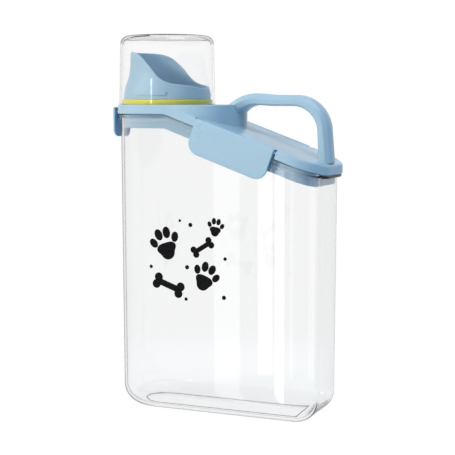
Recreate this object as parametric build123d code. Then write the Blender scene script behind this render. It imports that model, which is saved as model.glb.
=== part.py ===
from build123d import *
import math
import os

# A clear food bin with a pouring spout, a carrying handle and three latches.
# Lengths are millimetres and angles are degrees. X runs along the bin from the spout end to the low
# end, Y runs across it from front to rear and Z is up. Everything is drawn about the spout's own axis,
# and write() then moves it so that the origin lies at the bottom centre of the whole object.

# Overall
LID_TOP_Z = 242.0
LID_WIDTH = 79.1
LID_END_X = 141.7
LID_END_CORNER_R = 26.0
LATCH_OUTER_R = 43.6
CENTRE_X = (LID_END_X - LATCH_OUTER_R) / 2

# Slanted roof: flat round the spout, then falling to the low end
SLOPE_START_X = 16.8
SLOPE_ANGLE = 19.8

# Clear body
BODY_TOP_WIDTH = 74.6
BODY_BOTTOM_WIDTH = 72.2
BODY_BOTTOM_END_X = 135.0
BODY_BOTTOM_CORNER_R = 17.5
BODY_DRAWN_HEIGHT = 250.0
BODY_WALL = 2.0
FLOOR_THICKNESS = 2.4
BOTTOM_FILLET = 16.0
FOOT_RING_WIDTH = 1.8
FOOT_RECESS = 1.0

# Depths below the lid's top surface, square to it
PLATE = 2.4
SKIRT_DEPTH = 7.2
RIM_TOP_DEPTH = 8.0
RIM_BOTTOM_DEPTH = 10.2
PLUG_DEPTH = 18.2
GASKET_TOP_DEPTH = 11.2
GASKET_HEIGHT = 3.0

# Lid in plan
SKIRT_WALL = 2.4
RIM_INSET = 0.7
PLUG_GAP = 0.8
PLUG_WALL = 2.0
PLATFORM_CENTRE_X = 26.5
GASKET_GROOVE = 0.9
GASKET_GAP = 0.15

# Spout
SPOUT_HOLE_R = 31.8
SPOUT_NECK_GAP = 0.1
SPOUT_NECK_WALL = 1.9
SPOUT_NECK_BOTTOM_Z = 236.0
SNAP_BEAD_R = 32.3
SNAP_BEAD_TOP_Z = 239.4
SNAP_BEAD_HEIGHT = 1.6
SNAP_BEAD_EDGE_R = 0.4
RING_SEAT_R = 32.8
RING_OUTER_R = 36.3
RING_TOP_Z = 246.0
RING_EDGE_R = 1.0
BORE_TOP_Z = 250.0
SPOUT_WALL = 1.8

# The spout's outside from its base up: height, radius and how far its centre leans towards the low end
SPOUT_OUTLINE = (
    (246.0, 34.8, 0.0),
    (254.0, 33.9, 0.0),
    (258.0, 33.1, 0.5),
    (262.0, 32.2, 1.0),
    (267.0, 31.5, 1.7),
    (284.6, 31.1, 2.4),
)

# The pouring lip seen from the front, as (x, z)
LIP_POINTS = (
    (-26.0, 283.6),
    (-12.0, 281.1),
    (-1.0, 272.4),
    (8.0, 262.8),
    (16.0, 258.8),
    (27.0, 256.9),
    (34.5, 255.0),
)

LUG_COUNT = 3
LUG_MIDDLE_ANGLE = -86.9
LUG_INNER_R = 33.6
LUG_OUTER_R = 35.1
LUG_WIDTH = 1.2
LUG_ARC = 41.0
LUG_Z = 249.8

# Measuring cup
CUP_MOUTH_R = 38.4
CUP_TOP_R = 37.2
CUP_FLOOR_GAP = 0.2
CUP_TOP_Z = 296.4
CUP_WALL = 1.6
CUP_CORNER_R = 6.5

# Handle
HANDLE_WIDTH = 17.0
HANDLE_THICKNESS = 8.4
HANDLE_CHAMFER_ACROSS = 3.0
HANDLE_CHAMFER_DOWN = 3.7
HANDLE_INNER_CHAMFER = 1.2
HANDLE_START_X = 58.0
HANDLE_START_Z = 233.3
HANDLE_RISE_ANGLE = 45.0
HANDLE_RISE_R = 24.0
HANDLE_BAR_Z = 245.3
HANDLE_CORNER_R = 24.0
HANDLE_LEG_X = 133.3
HANDLE_TENON = 2.4

# Long latches on the front and the rear, measured along the slope from its start
FLAP_START_U = 28.6
FLAP_END_U = 96.0
FLAP_DEPTH = 26.8
FLAP_THICKNESS = 2.0
FLAP_OUTER_Y = 41.2
FLAP_BARREL_R = 3.0
FLAP_AXIS_DEPTH = 3.2
FLAP_CORNER_R = 9.5
FLAP_START_GAP = 0.4
FLAP_END_GAP = 2.0
FLAP_SWING_GAP = 0.3
BOSS_LENGTH = 5.0
BOSS_INNER_Y = 35.3

# Hooks that catch under the rim
HOOK_GAP = 0.4
HOOK_HEIGHT = 1.6
HOOK_REACH = 1.3
HOOK_END_MARGIN = 12.0

# Short latch on the round end
END_FLAP_OUTER_X = -43.5
END_FLAP_THICKNESS = 1.7
END_FLAP_HALF_WIDTH = 11.0
END_FLAP_BOTTOM_Z = 216.2
END_FLAP_CORNER_R = 7.5
END_AXIS_X = -41.6
END_AXIS_Z = 238.0
END_BARREL_R = 2.0
END_BARREL_HALF = 5.4
END_LUG_INNER_Y = 5.7
END_LUG_OUTER_Y = 8.1
END_NOTCH_GAP = 0.4
END_POCKET_R = 2.6
END_HOOK_R = 38.2
END_HOOK_HALF_WIDTH = 7.0

# Hinge pins
PIN_R = 0.9
PIN_RUNNING_GAP = 0.05
PIN_SOCKET_DEPTH = 4.0

# Far enough to cut right through, and just far enough to poke out
BEYOND = 400.0
OVERRUN = 4.0

slope_tan = math.tan(math.radians(SLOPE_ANGLE))
slope_cos = math.cos(math.radians(SLOPE_ANGLE))
half_slope_tan = math.tan(math.radians(SLOPE_ANGLE / 2))
body_draft = math.degrees(math.atan((BODY_TOP_WIDTH - BODY_BOTTOM_WIDTH) / 2 / LID_TOP_Z))
plug_half_width = BODY_TOP_WIDTH / 2 - BODY_WALL - PLUG_GAP
flap_axis_y = FLAP_OUTER_Y - FLAP_BARREL_R
flap_inner_y = FLAP_OUTER_Y - FLAP_THICKNESS
lid_half = LID_WIDTH / 2


def bin_plan(half_width, end_x, corner_r):
    """The plan outline: a half circle about the spout's axis, straight sides and a square end
    with rounded corners."""
    corner_x = end_x - corner_r
    corner_y = half_width - corner_r
    with BuildSketch() as plan:
        with BuildLine():
            Line((0, -half_width), (corner_x, -half_width))
            CenterArc((corner_x, -corner_y), corner_r, -90, 90)
            Line((end_x, -corner_y), (end_x, corner_y))
            CenterArc((corner_x, corner_y), corner_r, 0, 90)
            Line((corner_x, half_width), (0, half_width))
            CenterArc((0, 0), half_width, 90, 180)
        make_face()
    return plan.sketch


def lid_plan(inset):
    """The lid's outline, drawn in by the inset."""
    return bin_plan(lid_half - inset, LID_END_X - inset, LID_END_CORNER_R - inset)


def plug_plan(inset):
    """The outline of the plug that drops into the body, drawn in by the inset."""
    grow = (BODY_TOP_WIDTH - BODY_BOTTOM_WIDTH) / 2
    side_inset = BODY_WALL + PLUG_GAP + inset
    end_x = BODY_BOTTOM_END_X + grow - side_inset
    return bin_plan(plug_half_width - inset, end_x, BODY_BOTTOM_CORNER_R + grow - side_inset)


def prism(plan, low_z, high_z):
    """A plan outline raised from one height to another."""
    return extrude(Pos(0, 0, low_z) * plan, high_z - low_z, dir=(0, 0, 1))


def under_roof(depth):
    """All space deeper than the given depth below the lid's top surface."""
    break_x = SLOPE_START_X - depth * half_slope_tan
    flat_z = LID_TOP_Z - depth
    end_z = flat_z - (BEYOND - break_x) * slope_tan
    corners = [
        (-BEYOND, flat_z),
        (break_x, flat_z),
        (BEYOND, end_z),
        (BEYOND, -BEYOND),
        (-BEYOND, -BEYOND),
    ]
    profile = make_face(Polyline(*corners, close=True))
    return extrude(Plane.XZ * profile, BEYOND, both=True)


def roof_layer(plan, top_depth, bottom_depth):
    """The part of a plan outline between two depths below the lid's top surface."""
    column = prism(plan, 0, LID_TOP_Z)
    return (column & under_roof(top_depth)) - under_roof(bottom_depth)


def drafted_bin(inset, floor_z, fillet_r):
    """The body's outside or its cavity: a column that widens upwards, with a rounded bottom edge."""
    plan = bin_plan(
        BODY_BOTTOM_WIDTH / 2 - inset,
        BODY_BOTTOM_END_X - inset,
        BODY_BOTTOM_CORNER_R - inset,
    )
    column = extrude(Pos(0, 0, floor_z) * plan, BODY_DRAWN_HEIGHT, dir=(0, 0, 1), taper=-body_draft)
    return fillet(column.faces().sort_by(Axis.Z)[0].edges(), fillet_r)


def slope_plane(side_y):
    """A plane standing on the slope: X along it, Y square to it and out of the surface."""
    return Plane(
        origin=(SLOPE_START_X, side_y, LID_TOP_Z),
        x_dir=(slope_cos, 0, -math.sin(math.radians(SLOPE_ANGLE))),
        z_dir=(0, -1, 0),
    )


def slope_box(start_u, end_u, depths, ys):
    """A box laid along the slope, between two depths and two places across the bin."""
    low_y, high_y = min(ys), max(ys)
    top_depth, bottom_depth = depths
    middle = ((start_u + end_u) / 2, -(top_depth + bottom_depth) / 2)
    with BuildSketch(slope_plane(high_y)) as side:
        with Locations(middle):
            Rectangle(end_u - start_u, bottom_depth - top_depth)
    return extrude(side.sketch, high_y - low_y, dir=(0, -1, 0))


def slope_rod(start_u, end_u, radius, side):
    """A rod along a long latch's hinge axis."""
    base = slope_plane(0).from_local_coords(Vector(start_u, -FLAP_AXIS_DEPTH, 0))
    axis = slope_plane(0).x_dir
    section = Plane(origin=base + Vector(0, side * flap_axis_y, 0), z_dir=axis)
    return extrude(section * Circle(radius), end_u - start_u, dir=axis)


def end_rod(half_length, radius):
    """A rod along the end latch's hinge axis."""
    return Pos(END_AXIS_X, 0, END_AXIS_Z) * Rot(90, 0, 0) * Cylinder(radius, 2 * half_length)


def wedge(half_width, low_z, high_z):
    """A block over the round end, reaching out past it."""
    return Pos(-lid_half, 0, (low_z + high_z) / 2) * Box(lid_half, 2 * half_width, high_z - low_z)


def ring(inner_r, outer_r, low_z, high_z):
    """A plain ring about the spout's axis."""
    section = Circle(outer_r) - Circle(inner_r)
    return prism(section, low_z, high_z)


def container_body():
    outside = drafted_bin(0, 0, BOTTOM_FILLET) & under_roof(RIM_TOP_DEPTH)
    flange = roof_layer(lid_plan(RIM_INSET), RIM_TOP_DEPTH, RIM_BOTTOM_DEPTH)
    cavity = drafted_bin(BODY_WALL, FLOOR_THICKNESS, BOTTOM_FILLET - BODY_WALL)
    foot_inset = BOTTOM_FILLET + FOOT_RING_WIDTH
    recess_plan = bin_plan(
        BODY_BOTTOM_WIDTH / 2 - foot_inset,
        BODY_BOTTOM_END_X - foot_inset,
        BODY_BOTTOM_CORNER_R - BOTTOM_FILLET,
    )
    return outside + flange - cavity - prism(recess_plan, -1, FOOT_RECESS)


def platform(inset, low_z, high_z):
    """The raised part round the spout: the width of the lid, with a round end over the slope."""
    plan = SlotCenterToCenter(PLATFORM_CENTRE_X, 2 * (lid_half - inset))
    return prism(Pos(PLATFORM_CENTRE_X / 2, 0) * plan, low_z, high_z)


def hinge_bosses(side):
    """Two blocks inside the skirt that carry the ends of a long latch's pin."""
    gap_start = FLAP_START_U - FLAP_START_GAP
    gap_end = FLAP_END_U + FLAP_END_GAP
    ys = (side * BOSS_INNER_Y, side * (lid_half - SKIRT_WALL / 2))
    depths = (PLATE / 2, SKIRT_DEPTH)
    return (
        slope_box(gap_start - BOSS_LENGTH, gap_start, depths, ys)
        + slope_box(gap_end, gap_end + BOSS_LENGTH, depths, ys)
    )


def latch_recess(side):
    """What the lid gives up so that a long latch can hang in its edge and swing."""
    gap_start = FLAP_START_U - FLAP_START_GAP
    gap_end = FLAP_END_U + FLAP_END_GAP
    swing_r = FLAP_BARREL_R + FLAP_SWING_GAP
    swing = slope_rod(gap_start, gap_end, swing_r, side)
    skirt_ys = (side * (flap_axis_y - swing_r), side * FLAP_OUTER_Y)
    skirt = slope_box(gap_start, gap_end, (FLAP_AXIS_DEPTH, SKIRT_DEPTH + 1), skirt_ys)
    edge_ys = (side * flap_axis_y, side * FLAP_OUTER_Y)
    edge = slope_box(gap_start, gap_end, (-1, FLAP_AXIS_DEPTH), edge_ys)
    sockets = slope_rod(gap_start - PIN_SOCKET_DEPTH, gap_end + PIN_SOCKET_DEPTH, PIN_R, side)
    return swing + skirt + edge + sockets


def end_hinge_lugs():
    """Two round lugs on the lid's round end that hold the short latch's pin."""
    lugs = end_rod(END_LUG_OUTER_Y, END_BARREL_R) - end_rod(END_LUG_INNER_Y, BEYOND)
    stems = wedge(END_LUG_OUTER_Y, END_AXIS_Z - END_BARREL_R, END_AXIS_Z + END_BARREL_R)
    stems -= wedge(END_LUG_INNER_Y, 0, BEYOND)
    stems &= ring(lid_half - SKIRT_WALL / 2, -END_AXIS_X, 0, BEYOND)
    return lugs + stems


def lid_cover(handle):
    outside = roof_layer(lid_plan(0), 0, SKIRT_DEPTH)
    raised = platform(0, 0, LID_TOP_Z) - under_roof(PLATE)
    shell = outside + raised
    hollow = prism(lid_plan(SKIRT_WALL), 0, LID_TOP_Z) & under_roof(PLATE)
    hollow += platform(SKIRT_WALL, 0, LID_TOP_Z - PLATE)
    shell -= hollow
    plug = prism(plug_plan(0), 0, LID_TOP_Z) - prism(plug_plan(PLUG_WALL), 0, LID_TOP_Z)
    plug &= under_roof(PLATE / 2) + platform(SKIRT_WALL, 0, LID_TOP_Z - PLATE / 2)
    plug -= under_roof(PLUG_DEPTH)
    shell += plug
    pocket = end_rod(END_LUG_OUTER_Y + END_NOTCH_GAP, END_POCKET_R)
    shell = shell - pocket + end_hinge_lugs()
    shell -= end_rod(END_LUG_OUTER_Y + 1, PIN_R)
    for side in (-1, 1):
        shell += hinge_bosses(side)
        shell -= latch_recess(side)
    shell -= gasket_band(prism(plug_plan(-1), 0, LID_TOP_Z))
    shell -= prism(Circle(SPOUT_HOLE_R), LID_TOP_Z - 2 * PLATE, LID_TOP_Z + 1)
    return shell - handle


def gasket_band(outer):
    """The part of an outer shape that lies between the gasket's faces and outside its groove."""
    bottom = GASKET_TOP_DEPTH + GASKET_HEIGHT
    band = (outer & under_roof(GASKET_TOP_DEPTH)) - under_roof(bottom)
    return band - prism(plug_plan(GASKET_GROOVE), 0, LID_TOP_Z)


def lid_gasket():
    cavity_fillet = BOTTOM_FILLET - BODY_WALL
    return gasket_band(drafted_bin(BODY_WALL + GASKET_GAP, FLOOR_THICKNESS, cavity_fillet))


def spout_funnel(wall):
    """The leaning, flared column of the spout, or its bore when the wall is given."""
    return loft([Pos(x, 0, z) * Circle(radius - wall) for z, radius, x in SPOUT_OUTLINE])


def mouth_cut():
    """Everything above the S-curved lip, which is high at the pouring side and low at the back."""
    high = LIP_POINTS[0]
    low = LIP_POINTS[-1]
    with BuildSketch(Plane.XZ) as side:
        with BuildLine():
            Line((-BEYOND, high[1]), high)
            Spline(*LIP_POINTS)
            Line(low, (BEYOND, low[1]))
            Polyline((BEYOND, low[1]), (BEYOND, BEYOND), (-BEYOND, BEYOND), (-BEYOND, high[1]))
        make_face()
    return extrude(side.sketch, BEYOND, both=True)


def collar_lug():
    """One short rib on the spout's base."""
    half_chord = LUG_OUTER_R * math.sin(math.radians(LUG_ARC / 2))
    band = ring(LUG_INNER_R, LUG_OUTER_R, LUG_Z - LUG_WIDTH / 2, LUG_Z + LUG_WIDTH / 2)
    return band & (Pos(LUG_OUTER_R, 0, LUG_Z) * Box(LUG_OUTER_R, 2 * half_chord, 2 * LUG_WIDTH))


def pour_spout():
    neck_r = SPOUT_HOLE_R - SPOUT_NECK_GAP
    neck = prism(Circle(neck_r), SPOUT_NECK_BOTTOM_Z, RING_TOP_Z)
    bead_bottom = SNAP_BEAD_TOP_Z - SNAP_BEAD_HEIGHT
    bead = prism(Circle(SNAP_BEAD_R), bead_bottom, SNAP_BEAD_TOP_Z)
    bead = fillet(bead.edges(), SNAP_BEAD_EDGE_R)
    seat = prism(Circle(RING_SEAT_R), LID_TOP_Z, RING_TOP_Z)
    body = neck + bead + seat + spout_funnel(0)
    for index in range(LUG_COUNT):
        turn = LUG_MIDDLE_ANGLE + 360 / LUG_COUNT * index
        body += Rot(0, 0, turn) * collar_lug()
    bore = prism(Circle(neck_r - SPOUT_NECK_WALL), SPOUT_NECK_BOTTOM_Z - 1, BORE_TOP_Z)
    upper_bore = spout_funnel(SPOUT_WALL) & prism(Circle(LUG_OUTER_R), BORE_TOP_Z, BEYOND)
    return body - bore - upper_bore - mouth_cut()


def spout_seal_ring():
    band = ring(RING_SEAT_R, RING_OUTER_R, LID_TOP_Z, RING_TOP_Z)
    outer_edges = band.edges().group_by(SortBy.LENGTH)[-1]
    return fillet(outer_edges, RING_EDGE_R)


def measuring_cup():
    mouth_z = LID_TOP_Z + CUP_FLOOR_GAP
    height = CUP_TOP_Z - mouth_z
    lean = (CUP_MOUTH_R - CUP_TOP_R) / height

    def cup_solid(wall, top_z, corner_r):
        top_r = CUP_MOUTH_R - lean * (top_z - mouth_z) - wall
        blank = loft([
            Pos(0, 0, mouth_z) * Circle(CUP_MOUTH_R - wall),
            Pos(0, 0, top_z) * Circle(top_r),
        ])
        return fillet(blank.faces().sort_by(Axis.Z)[-1].edges(), corner_r)

    outside = cup_solid(0, CUP_TOP_Z, CUP_CORNER_R)
    return outside - cup_solid(CUP_WALL, CUP_TOP_Z - CUP_WALL, CUP_CORNER_R - CUP_WALL)


def carry_handle():
    rise = math.radians(HANDLE_RISE_ANGLE)
    arc_length_x = HANDLE_RISE_R * math.sin(rise)
    arc_drop = HANDLE_RISE_R * (1 - math.cos(rise))
    straight_x = (HANDLE_BAR_Z - HANDLE_START_Z - arc_drop) / math.tan(rise)
    bend_start = (HANDLE_START_X + straight_x, HANDLE_BAR_Z - arc_drop)
    bar_start = (bend_start[0] + arc_length_x, HANDLE_BAR_Z)
    bar_end = (HANDLE_LEG_X - HANDLE_CORNER_R, HANDLE_BAR_Z)
    leg_top = (HANDLE_LEG_X, HANDLE_BAR_Z - HANDLE_CORNER_R)
    leg_slope_z = LID_TOP_Z - (HANDLE_LEG_X + HANDLE_THICKNESS - SLOPE_START_X) * slope_tan
    with BuildLine(Plane.XZ) as path:
        Line((HANDLE_START_X, HANDLE_START_Z), bend_start)
        RadiusArc(bend_start, bar_start, HANDLE_RISE_R)
        Line(bar_start, bar_end)
        RadiusArc(bar_end, leg_top, HANDLE_CORNER_R)
        Line(leg_top, (HANDLE_LEG_X, leg_slope_z - OVERRUN))
    half_w = HANDLE_WIDTH / 2
    half_t = HANDLE_THICKNESS / 2
    flat_w = half_w - HANDLE_CHAMFER_ACROSS
    facet_t = half_t - HANDLE_CHAMFER_DOWN
    small = HANDLE_INNER_CHAMFER
    corners = [
        (-flat_w, half_t), (flat_w, half_t),
        (half_w, facet_t), (half_w, small - half_t),
        (half_w - small, -half_t), (small - half_w, -half_t),
        (-half_w, small - half_t), (-half_w, facet_t),
    ]
    start = Plane(
        origin=(HANDLE_START_X, 0, HANDLE_START_Z),
        x_dir=(0, 1, 0),
        z_dir=(math.cos(rise), 0, math.sin(rise)),
    )
    bar = sweep(start * make_face(Polyline(*corners, close=True)), path=path.line)
    below_plate = under_roof(HANDLE_TENON)
    inside_platform = platform(SKIRT_WALL, 0, LID_TOP_Z)
    return bar - (below_plate - platform(0, 0, LID_TOP_Z)) - inside_platform


def long_latch(side):
    """A flap along the slope: a plate on a round barrel, with a hook behind it."""
    plate_ys = (side * flap_inner_y, side * FLAP_OUTER_Y)
    plate = slope_box(FLAP_START_U, FLAP_END_U, (FLAP_AXIS_DEPTH, FLAP_DEPTH), plate_ys)
    lower = plate.edges().filter_by(Axis.Y).sort_by(Axis.Z)
    plane = slope_plane(0)
    deepest = sorted(lower, key=lambda edge: plane.to_local_coords(edge.center()).Y)[:2]
    plate = fillet(deepest, FLAP_CORNER_R)
    barrel = slope_rod(FLAP_START_U, FLAP_END_U, FLAP_BARREL_R, side)
    hook_top = RIM_BOTTOM_DEPTH + HOOK_GAP
    hook_ys = (side * (flap_inner_y - HOOK_REACH), side * flap_inner_y)
    hook_start = FLAP_START_U + HOOK_END_MARGIN
    hook_end = FLAP_END_U - HOOK_END_MARGIN
    hook = slope_box(hook_start, hook_end, (hook_top, hook_top + HOOK_HEIGHT), hook_ys)
    bore = slope_rod(FLAP_START_U - 1, FLAP_END_U + 1, PIN_R + PIN_RUNNING_GAP, side)
    return plate + barrel + hook - bore


def long_latch_pin(side):
    start_u = FLAP_START_U - FLAP_START_GAP - PIN_SOCKET_DEPTH
    end_u = FLAP_END_U + FLAP_END_GAP + PIN_SOCKET_DEPTH
    return slope_rod(start_u, end_u, PIN_R, side)


def end_latch():
    """The short latch: a flat plate on a round barrel, with a hook behind it."""
    inner_x = END_FLAP_OUTER_X + END_FLAP_THICKNESS
    top_z = END_AXIS_Z + END_BARREL_R
    height = top_z - END_FLAP_BOTTOM_Z
    with BuildSketch(Plane.YZ.offset(inner_x)) as face:
        with Locations((0, (top_z + END_FLAP_BOTTOM_Z) / 2)):
            Rectangle(2 * END_FLAP_HALF_WIDTH, height)
        fillet(face.vertices().group_by(Axis.Z)[0], END_FLAP_CORNER_R)
    plate = extrude(face.sketch, END_FLAP_THICKNESS, dir=(-1, 0, 0))
    notch_low = END_AXIS_Z - END_BARREL_R - END_NOTCH_GAP
    notches = wedge(END_LUG_OUTER_Y + END_NOTCH_GAP, notch_low, BEYOND)
    notches -= wedge(END_BARREL_HALF, 0, END_AXIS_Z)
    barrel = end_rod(END_BARREL_HALF, END_BARREL_R)
    hook_top = LID_TOP_Z - RIM_BOTTOM_DEPTH - HOOK_GAP
    hook = ring(END_HOOK_R, -inner_x + END_FLAP_THICKNESS, hook_top - HOOK_HEIGHT, hook_top)
    hook &= wedge(END_HOOK_HALF_WIDTH, 0, BEYOND)
    hook &= Pos(inner_x + lid_half, 0, hook_top) * Box(2 * lid_half, LID_WIDTH, 2 * HOOK_HEIGHT)
    bore = end_rod(END_BARREL_HALF + 1, PIN_R + PIN_RUNNING_GAP)
    return plate - notches + barrel + hook - bore


def write(name, shape):
    placed = Pos(-CENTRE_X, 0, 0) * shape
    export_step(Part() + placed.solids(), f"parts/{name}.step")


os.makedirs("parts", exist_ok=True)
handle = carry_handle()
write("container_body", container_body())
write("lid_cover", lid_cover(handle))
write("carry_handle", handle)
write("lid_gasket", lid_gasket())
write("pour_spout", pour_spout())
write("spout_seal_ring", spout_seal_ring())
write("measuring_cup", measuring_cup())
for name, side in (("front", -1), ("rear", 1)):
    write(f"{name}_latch", long_latch(side))
    write(f"{name}_latch_pin", long_latch_pin(side))
write("end_latch", end_latch())
write("end_latch_pin", end_rod(END_LUG_OUTER_Y, PIN_R))
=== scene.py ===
import bmesh
import bpy
from math import acos, asin, copysign, cos, hypot, pi, radians, sin, sqrt, tan
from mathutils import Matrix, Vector


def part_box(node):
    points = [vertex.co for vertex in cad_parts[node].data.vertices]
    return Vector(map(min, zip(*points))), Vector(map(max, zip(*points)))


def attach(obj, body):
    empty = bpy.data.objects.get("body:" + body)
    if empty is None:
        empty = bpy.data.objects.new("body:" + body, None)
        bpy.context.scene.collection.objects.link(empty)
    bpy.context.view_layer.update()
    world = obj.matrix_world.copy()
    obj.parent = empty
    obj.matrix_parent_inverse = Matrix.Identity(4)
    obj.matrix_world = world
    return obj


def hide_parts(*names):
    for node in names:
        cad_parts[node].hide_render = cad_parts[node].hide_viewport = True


# The looks of the food bin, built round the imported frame. Lengths are millimetres and angles are
# radians unless a comment says otherwise. Outlines are drawn about the spout's own axis, with X along
# the bin towards its low end, Y from front to rear and Z up. add_mesh() turns them into metres.

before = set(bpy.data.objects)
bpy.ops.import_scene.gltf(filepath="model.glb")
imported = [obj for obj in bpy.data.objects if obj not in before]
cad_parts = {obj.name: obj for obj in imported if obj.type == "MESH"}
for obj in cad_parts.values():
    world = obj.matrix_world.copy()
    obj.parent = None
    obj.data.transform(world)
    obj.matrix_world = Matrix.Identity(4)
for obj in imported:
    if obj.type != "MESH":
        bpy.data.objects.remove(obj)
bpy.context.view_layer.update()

MM = 0.001
SLIVER = 0.012 * MM
SPECK_FACES = 6
EDGE_STEPS = 4
ring_low, ring_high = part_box("spout_seal_ring")
lid_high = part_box("lid_cover")[1]
cup_low, cup_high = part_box("measuring_cup")
AXIS_X = (ring_low.x + ring_high.x) / 2

# Lid
LID_TOP_Z = ring_low.z / MM
LID_HALF = lid_high.y / MM
LID_END_X = (lid_high.x - AXIS_X) / MM
LID_CORNER_R = 26.0
LEAST_LID_CORNER_R = 1.0
SLOPE_START_X = 16.8
SLOPE_ANGLE = radians(19.8)
BREAK_ROUNDING = 14.0
LEAST_ROUNDING = 0.5
PLATE = 2.4
SKIRT_WALL = 2.4
SKIRT_DEPTH = 7.2
PLATFORM_CENTRE_X = 26.5
MOST_PLATFORM_INSET = 20
LID_EDGE_R = 2.6
PLATFORM_FOOT_R = 0.7
PLATFORM_EDGE_R = 0.7
SKIRT_EDGE_R = 0.3
SKIRT_STRAIGHT = 1.5
HOLE_EDGE = 0.4
INNER_MARGIN = 0.3
INNER_STEP = 0.1
# The ledge round the platform narrows to nothing at the spout end, and its roundings shrink with it
LEDGE_STEPS = 6
LEDGE_SHARE = 0.4
LEDGE_FADE = 2.0
LEDGE_GAP = 0.2
LEDGE_DROP = 0.11

# Plug under the lid
PLUG_INSET = 5.05
PLUG_WALL = 2.0
PLUG_DEPTH = 18.2
PLUG_END_X = 133.4
PLUG_CORNER_R = 15.9
GASKET_TOP_DEPTH = 11.2
GASKET_HEIGHT = 3.0
GASKET_REACH = 0.3
GASKET_REACHES = (0.0, 0.15, GASKET_REACH, 0.2, 0.1, 0.2, GASKET_REACH, 0.15, 0.0)
GASKET_SEAT = 0.9
PLUG_EDGE_R = 0.5

# Clear body
BODY_BOTTOM_HALF = 36.1
BODY_BOTTOM_END_X = 135.0
BODY_BOTTOM_CORNER_R = 17.5
BODY_DRAFT = 1.2 / 242.0
BODY_WALL = 2.0
FLOOR_THICKNESS = 2.4
BOTTOM_FILLET = 16.0
FOOT_RING_WIDTH = 1.8
FOOT_RECESS = 1.0
FOOT_STEP_RINGS = 2 * EDGE_STEPS
RIM_TOP_DEPTH = 8.0
RIM_BOTTOM_DEPTH = 10.2
RIM_INSET = 0.7
RIM_EDGE_R = 0.5
BODY_EDGE_R = 0.4
WALL_START_Z = BOTTOM_FILLET + 6
WALL_BELOW_RIM = (40, 3)
BOTTOM_STEPS = 17
FLOOR_STEPS = 15
RIM_STEPS = 5
LEAST_BODY_CORNER_R = 0.8

# Spout
SPOUT_HOLE_R = 31.8
SPOUT_NECK_R = 31.7
SPOUT_BORE_R = 29.8
SPOUT_NECK_BOTTOM_Z = 236.0
RING_SEAT_R = 32.8
RING_OUTER_R = 36.3
RING_TOP_Z = ring_high.z / MM
COLLAR_TOP_Z = 254.0
SPOUT_WALL = 1.8
SPOUT_COLUMNS = 200
SPOUT_CHAMFER = 0.4
SPOUT_NECK_CHAMFER = 0.5
SPOUT_BEAD_R = 32.3
SPOUT_BEAD_ZS = (237.8, 238.3, 238.9, 239.4)
SPOUT_SEAT_GAP = 0.05
SPOUT_LIFT = 0.02
SPOUT_BORE_TOP_Z = COLLAR_TOP_Z - 6
SPOUT_INSIDE_LOW_Z = COLLAR_TOP_Z - 3
SPOUT_SMOOTH = 40
LIP_FIRST_Z = COLLAR_TOP_Z + 10
LIP_ROUNDS = 10
# Height and radius, height and lean, and place along the bin and height of the lip
SPOUT_OUTLINE = (
    (246.0, 34.8), (254.0, 33.9), (258.0, 33.1), (262.0, 32.2), (267.0, 31.5), (283.6, 31.1),
)
SPOUT_LEAN = ((254.0, 0.0), (262.0, 1.0), (270.0, 2.0), (283.6, 2.4))
SPOUT_LIP = (
    (-26.0, 283.6), (-12.0, 281.1), (-1.0, 272.4), (8.0, 262.8), (16.0, 258.8), (27.0, 256.9), (34.5, 255.0),
)
LUG_COUNT = 3
LUG_FIRST = radians(-107.4)
LUG_ARC = radians(41.0)
LUG_Z = 249.8
LUG_HALF_HEIGHT = 0.6
LUG_HEIGHT = 0.7
LUG_STOP_TOP_Z = 252.2
LUG_STOP_WIDTH = 1.1
LUG_ROOT = 0.8
LUG_SOFT = 0.2
LUG_TURN_STEP = 0.04
RING_CORNER_R = 1.1
RING_SEAT_EDGE_R = 0.1

# Cup
CUP_MOUTH_R = (cup_high.x - cup_low.x) / 2 / MM
CUP_TOP_R = 37.2
CUP_MOUTH_Z = cup_low.z / MM
CUP_TOP_Z = cup_high.z / MM
CUP_WALL = 1.6
CUP_CORNER_R = 6.5
CUP_STRAIGHT_START = 0.8
CUP_STRAIGHT_MIDDLE = 20.0
CUP_LIP_R = 0.4
CUP_COLUMNS = 160

# Handle
HANDLE_WIDTH = 17.0
HANDLE_THICKNESS = 8.4
HANDLE_CHAMFER_DOWN = 3.7
HANDLE_CHAMFER_ACROSS = 3.0
HANDLE_INNER_CHAMFER = 1.2
HANDLE_RISE_ANGLE = radians(50)
HANDLE_RISE_R = 24.0
HANDLE_TOP_X = 80.0
HANDLE_BAR_Z = 245.3
HANDLE_CREST = 0.6
HANDLE_FLARE_START_X = 62.0
HANDLE_FLARE_END_X = 95.0
HANDLE_WIDE_END_X = 82.0
HANDLE_ROOT_WIDTH = 30.0
HANDLE_ROOT_UP = 1.5
HANDLE_ROOT_DOWN = -0.9
HANDLE_CORNER_R = 24.0
HANDLE_LEG_X = 133.3
HANDLE_LEG_LEAN = radians(3.0)
HANDLE_LEG_FLARE = 0.8
HANDLE_FLARE_POWER = 1.7
HANDLE_SOFT_R = 0.6
HANDLE_SMOOTH = 24
HANDLE_TOOL_HEIGHT = 30
HANDLE_TOOL_DEPTH = 20
HANDLE_TOOL_US = (100, 150)

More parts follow.
